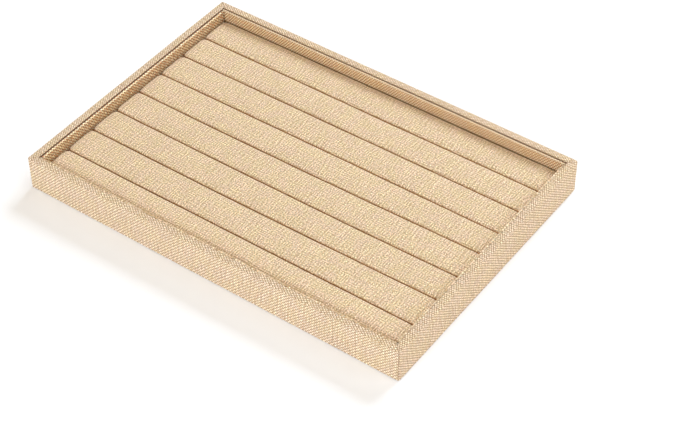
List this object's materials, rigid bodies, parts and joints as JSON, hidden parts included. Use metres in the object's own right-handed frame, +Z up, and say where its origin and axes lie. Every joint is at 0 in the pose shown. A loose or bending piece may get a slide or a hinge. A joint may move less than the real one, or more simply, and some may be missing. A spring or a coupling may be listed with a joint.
{
  "type": "jewelry tray",
  "caption": "Shallow rectangular linen-covered tray with lined walls and a lift-out ring pad of padded rolls, for showing and storing rings in the slots between the rolls.",
  "frame": {"origin": "middle of the underside, on the surface that the tray stands on", "axes": "+X along the length of the tray and of its rolls, +Y across the rolls to the rear, +Z up out of the tray"},
  "size_m": [0.345, 0.24, 0.03],
  "materials": {
    "fibreboard": "matte",
    "pin_steel": "satin",
    "linen": "matte",
    "felt": "matte",
    "grey_card": "matte",
    "foam": "matte"
  },
  "bodies": {
    "tray": {"base_panel": "fibreboard", "front_wall": "fibreboard", "rear_wall": "fibreboard", "left_wall": "fibreboard", "right_wall": "fibreboard", "corner_pins": "pin_steel", "outer_linen": "linen", "underside_felt": "felt", "floor_lining": "linen", "front_liner_card": "grey_card", "rear_liner_card": "grey_card", "left_liner_card": "grey_card", "right_liner_card": "grey_card", "front_liner_linen": "linen", "rear_liner_linen": "linen", "left_liner_linen": "linen", "right_liner_linen": "linen"},
    "ring_pad": {"pad_board": "grey_card", "roll_core_1": "foam", "roll_core_2": "foam", "roll_core_3": "foam", "roll_core_4": "foam", "roll_core_5": "foam", "roll_core_6": "foam", "roll_core_7": "foam", "roll_core_8": "foam", "roll_sleeve_1": "linen", "roll_sleeve_2": "linen", "roll_sleeve_3": "linen", "roll_sleeve_4": "linen", "roll_sleeve_5": "linen", "roll_sleeve_6": "linen", "roll_sleeve_7": "linen", "roll_sleeve_8": "linen"}
  },
  "joints": [
    {"name": "ring_pad_lift", "type": "slide", "parent": "tray", "child": "ring_pad", "axis": [0, 0, 1], "range_m": [0, 0.05]}
  ]
}
